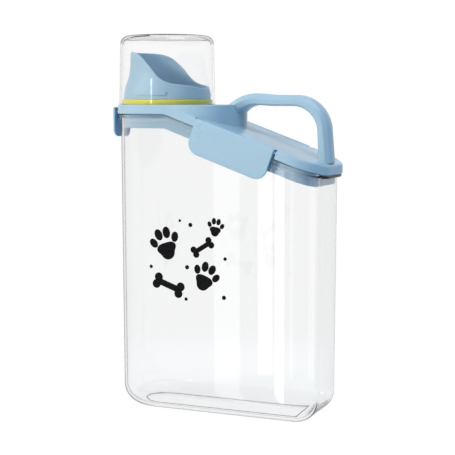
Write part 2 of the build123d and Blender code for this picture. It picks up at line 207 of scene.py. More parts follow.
# Long latches, measured along the slope from its start
FLAP_START_U = 28.6
FLAP_END_U = 96.0
FLAP_DEPTH = 26.8
FLAP_THICKNESS = 2.0
FLAP_OUTER_Y = 41.2
FLAP_BARREL_R = 3.0
FLAP_AXIS_DEPTH = 3.2
FLAP_CORNER_R = 9.5
FLAP_GAPS = (0.4, 2.0)
FLAP_SWING_R = 3.3
HOOK_DEPTHS = (10.6, 12.2)
HOOK_REACH = 1.3
HOOK_END_MARGIN = 12.0
BOSS_LENGTH = 5.0
BOSS_INNER_Y = 35.3
BOSS_SETBACK = 0.05
FLAP_END_R = 0.7
FLAP_EDGE_R = 0.8
FLAP_BACK_SHARE = 0.3
HOOK_ROOT = 0.5
HOOK_CHAMFER = 0.4
HOOK_TOE = 0.3
TOOL_MARGIN = 1.0
TOOL_TOP = 1.5

# End latch
END_FLAP_OUTER_X = -43.5
END_FLAP_THICKNESS = 1.7
END_FLAP_HALF_WIDTH = 11.0
END_FLAP_BOTTOM_Z = 216.2
END_FLAP_CORNER_R = 7.5
END_AXIS_X = -41.6
END_AXIS_Z = 238.0
END_BARREL_R = 2.0
END_BARREL_HALF = 5.4
END_LUG_YS = (5.7, 8.1)
END_NOTCH_GAP = 0.4
END_POCKET_R = 2.6
END_HOOK_R = 38.2
END_HOOK_ZS = (229.8, 231.4)
END_HOOK_HALF_WIDTH = 7.0
END_HOOK_SLANT = 0.8
END_EDGE_R = 0.7
END_SOFT_R = 0.6
END_SOFT_SHARE = 2.2
END_BACK_SHARE = 0.2
END_TOOL_XS = (-50, -30)
END_TOOL_TOP_Z = 250

# Camera, worked out from the photograph's perspective, its place in metres
CAMERA_PLACE = (0.37998, -0.88026, 0.24574)
CAMERA_AZIMUTH = radians(23.17)
CAMERA_PITCH = radians(6.0)
CAMERA_LENS = 96.1
CAMERA_SENSOR = 36.0

slope_sin = sin(SLOPE_ANGLE)
slope_cos = cos(SLOPE_ANGLE)
slope_tan = tan(SLOPE_ANGLE)
flap_axis_y = FLAP_OUTER_Y - FLAP_BARREL_R


def add_mesh(name, points, faces, smooth_angle=34):
    """A mesh object from points in millimetres, smooth up to an angle in degrees."""
    mesh = bpy.data.meshes.new(name)
    placed = [(AXIS_X + x * MM, y * MM, z * MM) for x, y, z in points]
    mesh.from_pydata(placed, [], faces)
    mesh.validate()
    obj = bpy.data.objects.new(name, mesh)
    bpy.context.scene.collection.objects.link(obj)
    outward(obj)
    shade(obj, smooth_angle)
    return obj


def outward(obj):
    """Turns every face of a closed mesh outwards."""
    work = bmesh.new()
    work.from_mesh(obj.data)
    bmesh.ops.recalc_face_normals(work, faces=work.faces)
    work.to_mesh(obj.data)
    work.free()


def shade(obj, smooth_angle):
    """Smooth shading up to an angle, in degrees."""
    obj.data.shade_smooth()
    obj.data.set_sharp_from_angle(angle=radians(smooth_angle))


def skin(rings, close_ends=True, close_around=True, loop=False):
    """Points and faces of a surface through rings that have as many points each."""
    count = len(rings[0])
    points = [p for ring in rings for p in ring]
    faces = []
    rows = len(rings) if loop else len(rings) - 1
    columns = count if close_around else count - 1
    for i in range(rows):
        a = i * count
        b = (i + 1) % len(rings) * count
        for j in range(columns):
            k = (j + 1) % count
            faces.append((a + j, a + k, b + k, b + j))
    if close_ends and not loop:
        faces.append(tuple(range(count - 1, -1, -1)))
        last = (len(rings) - 1) * count
        faces.append(tuple(last + j for j in range(count)))
    return points, faces


def carve(target, tool, operation, smooth_angle=34):
    """Adds a tool to the target or takes it away, and deletes the tool."""
    modifier = target.modifiers.new(operation.lower(), "BOOLEAN")
    modifier.object = tool
    modifier.operation = operation
    modifier.solver = "EXACT"
    depsgraph = bpy.context.evaluated_depsgraph_get()
    result = bpy.data.meshes.new_from_object(target.evaluated_get(depsgraph))
    target.modifiers.remove(modifier)
    old = target.data
    target.data = result
    bpy.data.meshes.remove(old)
    bpy.data.objects.remove(tool)
    clean(target)
    shade(target, smooth_angle)
    return target


def clean(obj):
    """Melts the slivers that cutting leaves and drops the specks that hang on nothing."""
    work = bmesh.new()
    work.from_mesh(obj.data)
    bmesh.ops.remove_doubles(work, verts=work.verts, dist=SLIVER)
    bmesh.ops.dissolve_degenerate(work, dist=SLIVER, edges=work.edges)
    left = set(work.faces)
    specks = []
    while left:
        group = [left.pop()]
        for face in group:
            for edge in face.edges:
                for other in edge.link_faces:
                    if other in left:
                        left.remove(other)
                        group.append(other)
        if len(group) < SPECK_FACES:
            specks += group
    bmesh.ops.delete(work, geom=specks, context="FACES")
    work.to_mesh(obj.data)
    work.free()


def spread(start, end, count, with_end=True):
    """Evenly spaced numbers from start to end."""
    steps = count - 1 if with_end else count
    return [start + (end - start) * i / steps for i in range(count)]


def arc_turns(count):
    """Angles of a quarter round."""
    return spread(0, pi / 2, count)


def arc(centre, radius, start, end, count):
    """Points along an arc, as pairs."""
    turns = spread(start, end, count)
    return [(centre[0] + radius * cos(turn), centre[1] + radius * sin(turn)) for turn in turns]


def corner(radius, count, backwards=False):
    """Steps round a rounded corner: how far each is from the one flat face and from the other."""
    turns = arc_turns(count)
    if backwards:
        turns = turns[::-1]
    return [(radius * (1 - cos(turn)), radius * (1 - sin(turn))) for turn in turns]


def rounded_in(radius, to_end):
    """How far a rounded end has come in, at a distance from the end."""
    return radius - sqrt(max(0.0, radius ** 2 - max(0.0, radius - to_end) ** 2))


def swept(profile, turn):
    """A (radius, height) outline turned about the spout's axis."""
    return [(r * cos(turn), r * sin(turn), z) for r, z in profile]


def round_ring(radius, z, count, centre_x=0.0):
    """A level circle."""
    turns = spread(0, 2 * pi, count, False)
    return [(centre_x + radius * cos(turn), radius * sin(turn), z) for turn in turns]


def roof_z(x, depth):
    """Height of the surface that lies a given depth below the lid's top, square to it."""
    start = SLOPE_START_X - depth * tan(SLOPE_ANGLE / 2)
    fall = max(0.0, x - start) * slope_tan
    rounding = max(BREAK_ROUNDING - depth, LEAST_ROUNDING)
    reach = rounding * tan(SLOPE_ANGLE / 2)
    flat_z = LID_TOP_Z - depth
    if x <= start - reach:
        return flat_z
    if x >= start + reach * slope_cos:
        return flat_z - fall
    along = x - (start - reach)
    return flat_z - rounding + sqrt(rounding ** 2 - along ** 2)


# The rings that follow the bin's outline have their points at the same stations, so that any two join

SIDE_START_X = 30
BREAK_XS = spread(0, 8, 4, False) + spread(8, 24, 17, False) + spread(24, SIDE_START_X, 4, False)
SIDE_COUNT = 26
CORNER_COUNT = 14
END_COUNT = 8
ROUND_COUNT = 72


def plan_ring(half, end_x, corner_r):
    """The bin's outline as (x, y) points: front side, low end, rear side and round end."""
    corner_x = end_x - corner_r
    corner_y = half - corner_r
    side_xs = BREAK_XS + spread(SIDE_START_X, corner_x, SIDE_COUNT, False)
    points = [(x, -half) for x in side_xs]
    for turn in spread(-pi / 2, 0, CORNER_COUNT, False):
        points.append((corner_x + corner_r * cos(turn), corner_r * sin(turn) - corner_y))
    points += [(end_x, y) for y in spread(-corner_y, corner_y, END_COUNT, False)]
    for turn in spread(0, pi / 2, CORNER_COUNT, False):
        points.append((corner_x + corner_r * cos(turn), corner_y + corner_r * sin(turn)))
    points.append((corner_x, half))
    points += [(x, half) for x in reversed(side_xs[1:])]
    for turn in spread(pi / 2, 3 * pi / 2, ROUND_COUNT, False):
        points.append((half * cos(turn), half * sin(turn)))
    return points


def lid_ring(inset):
    """The lid's outline, drawn in by an inset."""
    return plan_ring(LID_HALF - inset, LID_END_X - inset, max(LID_CORNER_R - inset, LEAST_LID_CORNER_R))


def plug_ring(inset):
    """The plug's outline, drawn in by an inset."""
    return plan_ring(LID_HALF - PLUG_INSET - inset, PLUG_END_X - inset, PLUG_CORNER_R - inset)


def body_point_ring(inset, height_of):
    """The body's outline at heights given as a function of x, widening upwards with the draft."""
    base = plan_ring(BODY_BOTTOM_HALF, BODY_BOTTOM_END_X, BODY_BOTTOM_CORNER_R)
    ring = []
    by_height = {}
    for index, (x, _) in enumerate(base):
        z = height_of(x)
        key = round(z, 3)
        if key not in by_height:
            grow = z * BODY_DRAFT - inset
            by_height[key] = plan_ring(
                BODY_BOTTOM_HALF + grow,
                BODY_BOTTOM_END_X + grow,
                max(BODY_BOTTOM_CORNER_R + grow, LEAST_BODY_CORNER_R),
            )
        px, py = by_height[key][index]
        ring.append((px, py, z))
    return ring


def at_depth(ring, depth):
    """An outline laid on the surface at a depth below the lid's top."""
    return [(x, y, roof_z(x, depth)) for x, y in ring]


def at_height(ring, z):
    """An outline laid level."""
    return [(x, y, z) for x, y in ring]


def body_at_height(inset, z):
    """The body's outline at one height."""
    return body_point_ring(inset, lambda x: z)


def body_at_depth(inset, depth):
    """The body's outline at a depth below the lid's top."""
    return body_point_ring(inset, lambda x: roof_z(x, depth))


def body_shell():
    """The clear body: foot ring, rounded bottom, drafted walls, rim flange and the inside."""
    foot_inset = BOTTOM_FILLET + FOOT_RING_WIDTH
    rings = []
    for turn in arc_turns(EDGE_STEPS):
        inset = foot_inset + BODY_EDGE_R * cos(turn)
        rings.append(body_at_height(inset, FOOT_RECESS - BODY_EDGE_R * sin(turn)))
    for outset, z in corner(BODY_EDGE_R, EDGE_STEPS):
        rings.append(body_at_height(foot_inset - outset, z))
    for z, inset in corner(BOTTOM_FILLET, BOTTOM_STEPS):
        rings.append(body_at_height(inset, z))
    rings.append(body_at_height(0, WALL_START_Z))
    for below in WALL_BELOW_RIM:
        rings.append(body_at_depth(0, RIM_BOTTOM_DEPTH + below))
    for outset, down in corner(RIM_EDGE_R, EDGE_STEPS):
        rings.append(body_at_depth(-outset, RIM_BOTTOM_DEPTH + down))
    for inset, up in corner(RIM_EDGE_R, RIM_STEPS, backwards=True):
        rings.append(at_depth(lid_ring(RIM_INSET + inset), RIM_BOTTOM_DEPTH - up))
    for inset, down in corner(RIM_EDGE_R, RIM_STEPS):
        rings.append(at_depth(lid_ring(RIM_INSET + inset), RIM_TOP_DEPTH + down))
    for outset, down in corner(BODY_EDGE_R, EDGE_STEPS, backwards=True):
        rings.append(body_at_depth(BODY_WALL - outset, RIM_TOP_DEPTH + down))
    for below in reversed(WALL_BELOW_RIM):
        rings.append(body_at_depth(BODY_WALL, RIM_BOTTOM_DEPTH + below))
    rings.append(body_at_height(BODY_WALL, WALL_START_Z))
    for up, inset in corner(BOTTOM_FILLET - BODY_WALL, FLOOR_STEPS, backwards=True):
        rings.append(body_at_height(BODY_WALL + inset, FLOOR_THICKNESS + up))
    return add_mesh("clear_body", *skin(rings))


def paint_foot_shade(body, material):
    """Gives the sharp step inside the foot ring painted shade: its own black-tinted clear plastic draws its
    dark line.
    """
    body.data.materials.append(material)
    ring_count = len(plan_ring(BODY_BOTTOM_HALF, BODY_BOTTOM_END_X, BODY_BOTTOM_CORNER_R))
    for face in body.data.polygons:
        if max(face.vertices) < FOOT_STEP_RINGS * ring_count and len(face.vertices) == 4:
            face.material_index = 1


def paint_corner_edge_shade(cup_piece, material):
    """Gives the cup's round corner more painted edge shade than the side, so it turns darker edge-on."""
    cup_piece.data.materials.append(material)
    low_z = (CUP_TOP_Z - CUP_CORNER_R) * MM
    for face in cup_piece.data.polygons:
        if face.center.z > low_z and len(face.vertices) == 4:
            face.material_index = 1


def ledge_place(x, y):
    """Where the foot of the raised platform is, opposite a place on the lid's outline."""
    if x <= PLATFORM_CENTRE_X:
        return x, y, 0.0
    away = hypot(x - PLATFORM_CENTRE_X, y)
    px = PLATFORM_CENTRE_X + LID_HALF * (x - PLATFORM_CENTRE_X) / away
    py = LID_HALF * y / away
    return px, py, hypot(x - px, y - py)


def platform_ring(inset):
    """The raised platform's outline, at the same stations as the lid's."""
    ring = []
    for (x, y), (ox, oy) in zip(lid_ring(0), lid_ring(min(inset, MOST_PLATFORM_INSET))):
        if x <= PLATFORM_CENTRE_X:
            ring.append((ox, oy))
            continue
        away = hypot(x - PLATFORM_CENTRE_X, y)
        radius = LID_HALF - inset
        ring.append((
            PLATFORM_CENTRE_X + radius * (x - PLATFORM_CENTRE_X) / away,
            radius * y / away,
        ))
    return ring


def lid_outside():
    """Rings of the lid's outside from the foot of its skirt to the platform's top edge."""
    rings = []
    for inset, up in corner(SKIRT_EDGE_R, EDGE_STEPS, backwards=True):
        rings.append(at_depth(lid_ring(inset), SKIRT_DEPTH - up))
    rings.append(at_depth(lid_ring(0), SKIRT_DEPTH - SKIRT_STRAIGHT))
    made = [[] for _ in range(2 * LEDGE_STEPS)]
    highest = LID_TOP_Z - PLATFORM_EDGE_R - LEDGE_GAP
    for x, y in lid_ring(0):
        px, py, ledge = ledge_place(x, y)
        shrink = max(0.0, 1 - ledge / LEDGE_FADE)
        surface = min(roof_z(x, 0), highest)
        surface_foot = min(roof_z(px, 0), highest)
        tx, ty = ((px - x) / ledge, (py - y) / ledge) if ledge > 0 else (0.0, 0.0)
        for i, (inset, drop) in enumerate(corner(min(LID_EDGE_R, LEDGE_SHARE * ledge), LEDGE_STEPS)):
            drop += shrink * LEDGE_DROP * (2 * LEDGE_STEPS - i)
            made[i].append((x + tx * inset, y + ty * inset, surface - drop))
        for i, (rise, outset) in enumerate(corner(min(PLATFORM_FOOT_R, LEDGE_SHARE * ledge), LEDGE_STEPS)):
            rise -= shrink * LEDGE_DROP * (LEDGE_STEPS - i)
            made[LEDGE_STEPS + i].append((px - tx * outset, py - ty * outset, surface_foot + rise))
    rings += made
    for inset, drop in corner(PLATFORM_EDGE_R, LEDGE_STEPS):
        rings.append(at_height(platform_ring(inset), LID_TOP_Z - drop))
    return rings


def hole_ring(radius):
    """The spout's hole, with its points opposite those of the platform's outline."""
    ring = []
    for x, y in platform_ring(0):
        away = hypot(x, y)
        ring.append((radius * x / away, radius * y / away))
    return ring


def lid_inside():
    """Rings from the hole's edge across the lid's underside, round the plug to the skirt's foot."""
    under_z = LID_TOP_Z - PLATE
    rings = [at_height(hole_ring(SPOUT_HOLE_R + HOLE_EDGE), LID_TOP_Z)]
    rings.append(at_height(hole_ring(SPOUT_HOLE_R), LID_TOP_Z - HOLE_EDGE))
    rings.append(at_height(hole_ring(SPOUT_HOLE_R), under_z))
    high = []
    low = []
    inner = plug_ring(PLUG_WALL + INNER_MARGIN)
    widest = LID_HALF - PLUG_INSET - PLUG_WALL - INNER_MARGIN
    for (sx, sy), (ix, iy), (x, _) in zip(platform_ring(SKIRT_WALL), inner, lid_ring(0)):
        use_inner = x <= PLATFORM_CENTRE_X or abs(sy) > abs(iy) and sx < ix
        hx, hy = (ix, iy) if use_inner else (sx, sy)
        if x > PLATFORM_CENTRE_X and abs(hy) > widest:
            hy = copysign(widest, hy)
        high.append((hx, hy, under_z))
        low.append((hx, hy, min(roof_z(hx, PLATE), under_z - INNER_STEP)))
    rings += [high, low]
    rings.append(at_depth(plug_ring(PLUG_WALL), PLATE + INNER_STEP))
    rings += plug_rim()
    rings.append(at_depth(plug_ring(0), PLATE))
    rings.append(at_depth(lid_ring(SKIRT_WALL), PLATE))
    rings.append(at_depth(lid_ring(SKIRT_WALL), SKIRT_DEPTH))
    return rings


def plug_rim():
    """Rings round the plug's lower edge, inside first."""
    rings = []
    for outset, up in corner(PLUG_EDGE_R, EDGE_STEPS):
        rings.append(at_depth(plug_ring(PLUG_WALL - outset), PLUG_DEPTH - up))
    for inset, up in corner(PLUG_EDGE_R, EDGE_STEPS, backwards=True):
        rings.append(at_depth(plug_ring(inset), PLUG_DEPTH - up))
    return rings


def slope_point(u, v, y):
    """A point measured along the slope and square to it."""
    x = SLOPE_START_X + u * slope_cos + v * slope_sin
    z = LID_TOP_Z - u * slope_sin + v * slope_cos
    return x, y, z


def slope_prism(outline, start_u, end_u):
    """A solid with one (y, v) outline all the way along the slope."""
    rings = [[slope_point(u, v, y) for y, v in outline] for u in (start_u, end_u)]
    return add_mesh("tool", *skin(rings))


def recess_outline(side):
    """What a long latch needs of the lid's edge, seen along the slope."""
    swing = [
        (flap_axis_y - FLAP_SWING_R * sin(turn), FLAP_SWING_R * cos(turn) - FLAP_AXIS_DEPTH)
        for turn in arc_turns(12)
    ]
    low = -SKIRT_DEPTH - TOOL_MARGIN
    reach = FLAP_OUTER_Y + TOOL_MARGIN
    outline = [(reach, TOOL_TOP), (flap_axis_y, TOOL_TOP)] + swing
    outline += [(flap_axis_y - FLAP_SWING_R, low), (reach, low)]
    return [(side * y, v) for y, v in outline]


def rod(start, end, radius):
    """A cylinder between two points, in millimetres."""
    start = Vector(start)
    axis = (Vector(end) - start).normalized()
    across = axis.orthogonal().normalized()
    other = axis.cross(across)
    rings = []
    for place in (start, Vector(end)):
        ring = []
        for turn in spread(0, 2 * pi, 40, False):
            ring.append(tuple(place + across * radius * cos(turn) + other * radius * sin(turn)))
        rings.append(ring)
    return add_mesh("tool", *skin(rings))


def block(low, high):
    """A box between two corners, in millimetres."""
    corners = ((low[0], low[1]), (high[0], low[1]), (high[0], high[1]), (low[0], high[1]))
    return add_mesh("tool", *skin([at_height(corners, z) for z in (low[2], high[2])]))


def end_rod(start_y, end_y, radius):
    """A rod along the end latch's axis."""
    return rod((END_AXIS_X, start_y, END_AXIS_Z), (END_AXIS_X, end_y, END_AXIS_Z), radius)


def lid_shell():
    """The lid: skirt, sloping top, raised platform, spout hole and plug, with its hinge places."""
    lid = add_mesh("lid_shell", *skin(lid_outside() + lid_inside(), loop=True))
    gap_start = FLAP_START_U - FLAP_GAPS[0]
    gap_end = FLAP_END_U + FLAP_GAPS[1]
    boss_starts = (gap_start - BOSS_LENGTH - BOSS_SETBACK, gap_end + BOSS_SETBACK)
    boss_high = -PLATE / 2
    boss_low = BOSS_SETBACK - SKIRT_DEPTH
    for side in (-1, 1):
        carve(lid, slope_prism(recess_outline(side), gap_start, gap_end), "DIFFERENCE")
        outer_y = side * (LID_HALF - SKIRT_WALL / 2)
        inner_y = side * BOSS_INNER_Y
        outline = [(outer_y, boss_high), (inner_y, boss_high), (inner_y, boss_low), (outer_y, boss_low)]
        for start_u in boss_starts:
            carve(lid, slope_prism(outline, start_u, start_u + BOSS_LENGTH), "UNION")
    reach = END_LUG_YS[1] + END_NOTCH_GAP
    carve(lid, end_rod(-reach, reach, END_POCKET_R), "DIFFERENCE")
    for side in (-1, 1):
        near, far = side * END_LUG_YS[0], side * END_LUG_YS[1]
        carve(lid, end_rod(near, far, END_BARREL_R), "UNION")
        low = (END_AXIS_X, min(near, far), END_AXIS_Z - END_BARREL_R)
        high = (-LID_HALF + SKIRT_WALL, max(near, far), END_AXIS_Z + END_BARREL_R)
        carve(lid, block(low, high), "UNION")
    return lid


def gasket():
    """The soft seal round the plug, with two lips."""
    depths = spread(GASKET_TOP_DEPTH, GASKET_TOP_DEPTH + GASKET_HEIGHT, len(GASKET_REACHES))
    rings = [at_depth(plug_ring(-reach), depth) for reach, depth in zip(GASKET_REACHES, depths)]
    rings.append(at_depth(plug_ring(GASKET_SEAT), depths[-1]))
    rings.append(at_depth(plug_ring(GASKET_SEAT), depths[0]))
    return add_mesh("gasket_seal", *skin(rings, loop=True), 60)


def flap_profile(u, side):
    """The latch's section at one place along the slope: the barrel above and the plate below."""
    to_end = min(u - FLAP_START_U, FLAP_END_U - u)
    shrink = rounded_in(FLAP_END_R, to_end)
    into_corner = max(0.0, FLAP_CORNER_R - to_end)
    bottom = FLAP_DEPTH - FLAP_CORNER_R + sqrt(FLAP_CORNER_R ** 2 - into_corner ** 2) - shrink
    bottom = max(bottom, FLAP_DEPTH - FLAP_CORNER_R)
    outer = FLAP_OUTER_Y - shrink
    inner = FLAP_OUTER_Y - FLAP_THICKNESS + shrink * FLAP_BACK_SHARE
    edge_r = min(FLAP_EDGE_R, (outer - inner) / 2)
    edge_depth = bottom - edge_r
    points = [(outer, -depth) for depth in spread(edge_depth, FLAP_AXIS_DEPTH, 8)]
    radius = FLAP_BARREL_R - shrink
    last_turn = 2 * pi - acos((inner - flap_axis_y) / radius)
    points += arc((flap_axis_y, -FLAP_AXIS_DEPTH), radius, 0, last_turn, 34)[1:]
    points += [(inner, -depth) for depth in spread(-points[-1][1], edge_depth, 7)[1:]]
    for turn in arc_turns(5)[1:]:
        y = inner + edge_r - edge_r * cos(turn)
        points.append((y, -(edge_depth + edge_r * sin(turn))))
    for turn in reversed(arc_turns(5)[1:-1]):
        y = outer - edge_r + edge_r * cos(turn)
        points.append((y, -(edge_depth + edge_r * sin(turn))))
    return [slope_point(u, v, side * y) for y, v in points]


def flap(name, side):
    """A long latch with its barrel, rounded plate and hook."""
    near_end = [0.0, 0.1, 0.25, 0.45, 0.7, 1.1, 1.7, 2.5, 3.5, 4.7, 6.0, 7.5, FLAP_CORNER_R]
    length = FLAP_END_U - FLAP_START_U
    middle = spread(FLAP_CORNER_R, length - FLAP_CORNER_R, 12)[1:-1]
    places = near_end + middle + [length - place for place in reversed(near_end)]
    made = add_mesh(name, *skin([flap_profile(FLAP_START_U + place, side) for place in places]))
    inner = FLAP_OUTER_Y - FLAP_THICKNESS
    high, low = HOOK_DEPTHS
    outline = [
        (inner + HOOK_ROOT, -high), (inner - HOOK_REACH + HOOK_CHAMFER, -high),
        (inner - HOOK_REACH, -high - HOOK_CHAMFER), (inner - HOOK_TOE, -low), (inner + HOOK_ROOT, -low),
    ]
    outline = [(side * y, v) for y, v in outline]
    hook = slope_prism(outline, FLAP_START_U + HOOK_END_MARGIN, FLAP_END_U - HOOK_END_MARGIN)
    return carve(made, hook, "UNION")


def end_flap():
    """The short flat latch on the round end, with its barrel and hook."""
    corner_r = END_FLAP_CORNER_R
    top_z = END_AXIS_Z + END_BARREL_R
    near_end = [0.0, 0.12, 0.3, 0.7, 1.2, 2.2, 3.5, 5.2, corner_r]
    width = 2 * END_FLAP_HALF_WIDTH
    middle = spread(corner_r, width - corner_r, 8)[1:-1]
    rings = []
    for place in near_end + middle + [width - place for place in reversed(near_end)]:
        to_end = min(place, width - place)
        shrink = rounded_in(END_EDGE_R, to_end)
        low = END_FLAP_BOTTOM_Z + max(rounded_in(corner_r, to_end), shrink)
        outer = END_FLAP_OUTER_X + shrink
        inner = END_FLAP_OUTER_X + END_FLAP_THICKNESS - END_BACK_SHARE * shrink
        section = [(outer, low), (inner, low), (inner, top_z - shrink), (outer, top_z - shrink)]
        section = soften(section, min(END_SOFT_R, (inner - outer) / END_SOFT_SHARE))
        rings.append([(x, place - END_FLAP_HALF_WIDTH, z) for x, z in section])
    made = add_mesh("end_flap", *skin(rings))
    reach = END_LUG_YS[1] + END_NOTCH_GAP
    notch_low = END_AXIS_Z - END_BARREL_R - END_NOTCH_GAP
    middle_half = END_BARREL_HALF + TOOL_MARGIN
    for start_y, end_y, low_z in (
        (-reach, -END_BARREL_HALF, notch_low),
        (END_BARREL_HALF, reach, notch_low),
        (-middle_half, middle_half, END_AXIS_Z),
    ):
        low, high = (END_TOOL_XS[0], start_y, low_z), (END_TOOL_XS[1], end_y, END_TOOL_TOP_Z)
        carve(made, block(low, high), "DIFFERENCE")
    carve(made, end_rod(-END_BARREL_HALF, END_BARREL_HALF, END_BARREL_R), "UNION")
    middle_x = END_FLAP_OUTER_X + END_FLAP_THICKNESS / 2
    low, high = END_HOOK_ZS
    rings = []
    for y in spread(-END_HOOK_HALF_WIDTH, END_HOOK_HALF_WIDTH, 12):
        tip_x = -sqrt(END_HOOK_R ** 2 - y ** 2)
        low_tip_x = tip_x - END_HOOK_SLANT
        rings.append([(tip_x, y, high), (middle_x, y, high), (middle_x, y, low), (low_tip_x, y, low)])
    return carve(made, add_mesh("tool", *skin(rings)), "UNION")


def seal_ring():
    """The ring at the spout's foot, well rounded outside and nearly sharp where it seats."""
    corners = (
        (RING_OUTER_R, LID_TOP_Z), (RING_OUTER_R, RING_TOP_Z),
        (RING_SEAT_R, RING_TOP_Z), (RING_SEAT_R, LID_TOP_Z),
    )
    profile = []
    for index, (r, z) in enumerate(corners):
        out = 1 if index < 2 else -1
        up = 1 if index in (1, 2) else -1
        radius = RING_CORNER_R if out > 0 else RING_SEAT_EDGE_R
        start = -pi / 2 + index * pi / 2
        profile += arc((r - out * radius, z - up * radius), radius, start, start + pi / 2, 6)
    rings = [swept(profile, turn) for turn in spread(0, 2 * pi, 128, False)]
    return add_mesh("seal_ring", *skin(rings, loop=True))


def cup():
    """The clear measuring cup, upside down over the spout."""
    lean = (CUP_MOUTH_R - CUP_TOP_R) / (CUP_TOP_Z - CUP_MOUTH_Z)

    def wall_r(z, inset):
        """The leaning wall's radius at a height."""
        return CUP_MOUTH_R - lean * (z - CUP_MOUTH_Z) - inset

    def section(inset, lip_inset, lip_end, steps):
        """One face of the wall as (radius, height), from the mouth to the flat of the top."""
        lip_centre = (wall_r(CUP_MOUTH_Z, lip_inset), CUP_MOUTH_Z + CUP_LIP_R)
        made = arc(lip_centre, CUP_LIP_R, -pi / 2, lip_end, EDGE_STEPS)
        for rise in (CUP_STRAIGHT_START, CUP_STRAIGHT_MIDDLE):
            made.append((wall_r(CUP_MOUTH_Z + rise, inset), CUP_MOUTH_Z + rise))
        corner_r = CUP_CORNER_R - inset
        corner_z = CUP_TOP_Z - inset - corner_r
        corner_centre = (wall_r(corner_z, inset + corner_r), corner_z)
        return made + arc(corner_centre, corner_r, 0, pi / 2, steps)

    outside = section(0, CUP_LIP_R, 0, 12)
    inside = section(CUP_WALL, CUP_WALL - CUP_LIP_R, -pi, 10)
    rings = [round_ring(r, z, CUP_COLUMNS) for r, z in outside[::-1] + inside]
    return add_mesh("clear_cup", *skin(rings))


def follow(points, at):
    """A smooth curve through a few points, level beyond its ends."""
    if at <= points[0][0]:
        return points[0][1]
    if at >= points[-1][0]:
        return points[-1][1]
    slopes = [0.0]
    for before, after in zip(points, points[2:]):
        slopes.append((after[1] - before[1]) / (after[0] - before[0]))
    slopes.append((points[-1][1] - points[-2][1]) / (points[-1][0] - points[-2][0]))
    for index in range(len(points) - 1):
        (x0, y0), (x1, y1) = points[index], points[index + 1]
        if at <= x1:
            break
    width = x1 - x0
    t = (at - x0) / width
    value = (2 * t ** 3 - 3 * t ** 2 + 1) * y0 + (3 * t ** 2 - 2 * t ** 3) * y1
    value += (t ** 3 - 2 * t ** 2 + t) * width * slopes[index]
    return value + (t ** 3 - t ** 2) * width * slopes[index + 1]


def spout_point(turn, z, inset):
    """A point on the spout's leaning, flared wall."""
    radius = follow(SPOUT_OUTLINE, z) - inset
    return follow(SPOUT_LEAN, z) + radius * cos(turn), radius * sin(turn), z


def spout():
    """The pouring spout: neck, snap bead, flared base and the S-lipped mouth."""
    bead_low, bead_start, bead_end, bead_high = SPOUT_BEAD_ZS
    seat_r = RING_SEAT_R - SPOUT_SEAT_GAP
    base_z = RING_TOP_Z + SPOUT_LIFT
    neck = [
        (SPOUT_BORE_R, SPOUT_BORE_TOP_Z),
        (SPOUT_BORE_R, SPOUT_NECK_BOTTOM_Z + SPOUT_CHAMFER),
        (SPOUT_BORE_R + SPOUT_CHAMFER, SPOUT_NECK_BOTTOM_Z),
        (SPOUT_NECK_R - SPOUT_NECK_CHAMFER, SPOUT_NECK_BOTTOM_Z),
        (SPOUT_NECK_R, SPOUT_NECK_BOTTOM_Z + SPOUT_NECK_CHAMFER),
        (SPOUT_NECK_R, bead_low), (SPOUT_BEAD_R, bead_start),
        (SPOUT_BEAD_R, bead_end), (SPOUT_NECK_R, bead_high),
        (SPOUT_NECK_R, LID_TOP_Z), (seat_r, LID_TOP_Z + SPOUT_LIFT),
        (seat_r, base_z), (SPOUT_OUTLINE[0][1] - SPOUT_CHAMFER, base_z),
    ]
    columns = []
    half_edge = SPOUT_WALL / 2
    for turn in spread(0, 2 * pi, SPOUT_COLUMNS, False):
        top = LIP_FIRST_Z
        for _ in range(LIP_ROUNDS):
            top = follow(SPOUT_LIP, spout_point(turn, top, 0)[0])
        shoulder = top - half_edge
        column = swept(neck, turn)
        column += [spout_point(turn, z, 0) for z in spread(RING_TOP_Z + SPOUT_CHAMFER, shoulder, 16)]
        for bend in spread(0, pi, 9)[1:-1]:
            x, y, _ = spout_point(turn, shoulder, half_edge * (1 - cos(bend)))
            column.append((x, y, shoulder + half_edge * sin(bend)))
        column += [spout_point(turn, z, SPOUT_WALL) for z in spread(shoulder, SPOUT_INSIDE_LOW_Z, 12)]
        columns.append(column)
    made = add_mesh("pouring_spout", *skin(columns, loop=True), SPOUT_SMOOTH)
    low, high = LUG_Z - LUG_HALF_HEIGHT, LUG_Z + LUG_HALF_HEIGHT
    stop_arc = LUG_STOP_WIDTH / SPOUT_OUTLINE[0][1]
    for index in range(LUG_COUNT):
        first = LUG_FIRST + index * 2 * pi / LUG_COUNT
        carve(made, lug(first, LUG_ARC, low, high), "UNION", SPOUT_SMOOTH)
        last = first + LUG_ARC - stop_arc
        carve(made, lug(last, stop_arc, low, LUG_STOP_TOP_Z), "UNION", SPOUT_SMOOTH)
    return made


def lug(first, extent, low, high):
    """A raised rib round part of the spout's base, with softened outer edges."""
    outer = follow(SPOUT_OUTLINE, LUG_Z) + LUG_HEIGHT
    inner = outer - LUG_HEIGHT - LUG_ROOT
    profile = [
        (inner, low), (outer - LUG_SOFT, low), (outer, low + LUG_SOFT),
        (outer, high - LUG_SOFT), (outer - LUG_SOFT, high), (inner, high),
    ]
    turns = spread(first, first + extent, max(3, int(extent / LUG_TURN_STEP)))
    return add_mesh("tool", *skin([swept(profile, turn) for turn in turns]))


